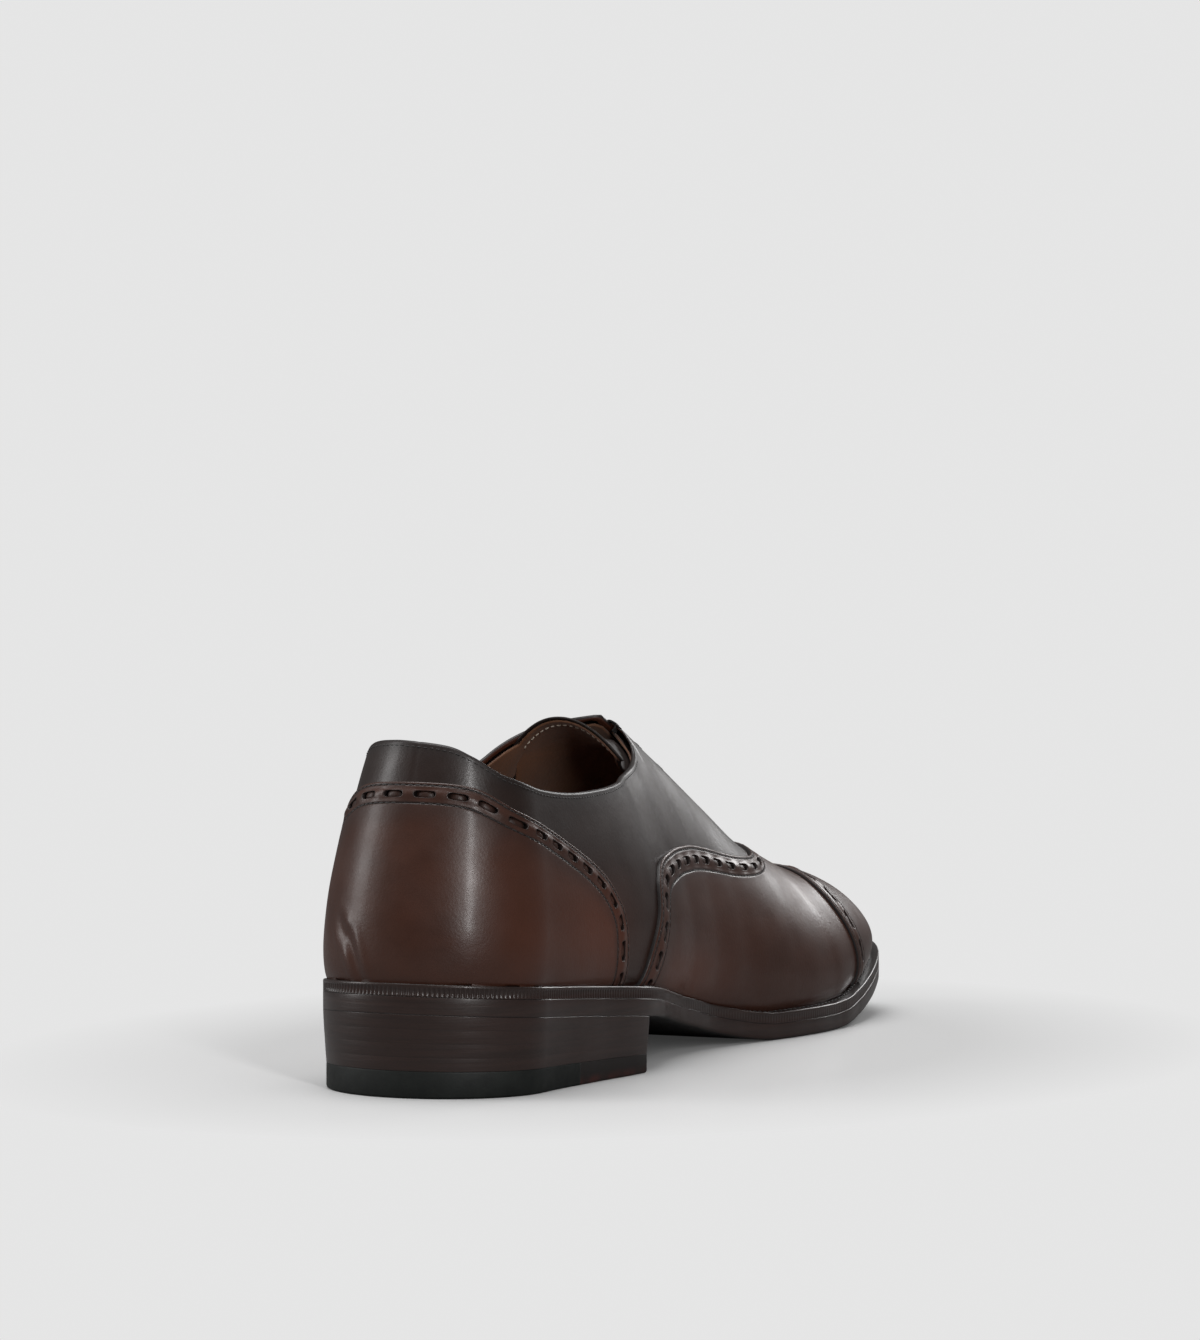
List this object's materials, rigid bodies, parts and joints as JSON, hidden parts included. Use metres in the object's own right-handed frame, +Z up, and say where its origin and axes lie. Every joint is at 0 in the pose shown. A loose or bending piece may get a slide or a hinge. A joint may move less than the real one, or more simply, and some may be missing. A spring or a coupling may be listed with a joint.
{
  "type": "cap-toe Oxford brogue shoe",
  "caption": "Left cap-toe Oxford shoe in dark brown leather with brogued seams, closed lacing, a leather welt and sole, and a stacked heel.",
  "frame": {"origin": "centre of the flat underside of the heel", "axes": "+Y towards the toe, +Z up, +X towards the inner side of the foot"},
  "size_m": [0.0999, 0.305, 0.1046],
  "materials": {
    "upper_leather": "burnished calf, semi-gloss",
    "quarter_leather": "burnished calf, semi-gloss",
    "lining_leather": "matt",
    "sole_leather": "waxed edge",
    "heel_leather": "waxed edge",
    "heel_rubber": "matt",
    "lace_cotton": "waxed cotton"
  },
  "bodies": {
    "root": {"upper": "quarter_leather", "vamp": "upper_leather", "toe_cap": "upper_leather", "heel_counter": "upper_leather", "tongue": "quarter_leather", "insole": "lining_leather", "welt": "sole_leather", "outsole": "sole_leather", "heel_stack": "sole_leather", "top_piece": "heel_rubber", "top_piece_front": "heel_leather", "lace_bar_1": "lace_cotton", "lace_bar_2": "lace_cotton", "lace_bar_3": "lace_cotton", "lace_bar_4": "lace_cotton", "lace_bar_5": "lace_cotton", "lace_bar_6": "lace_cotton"}
  },
  "joints": []
}
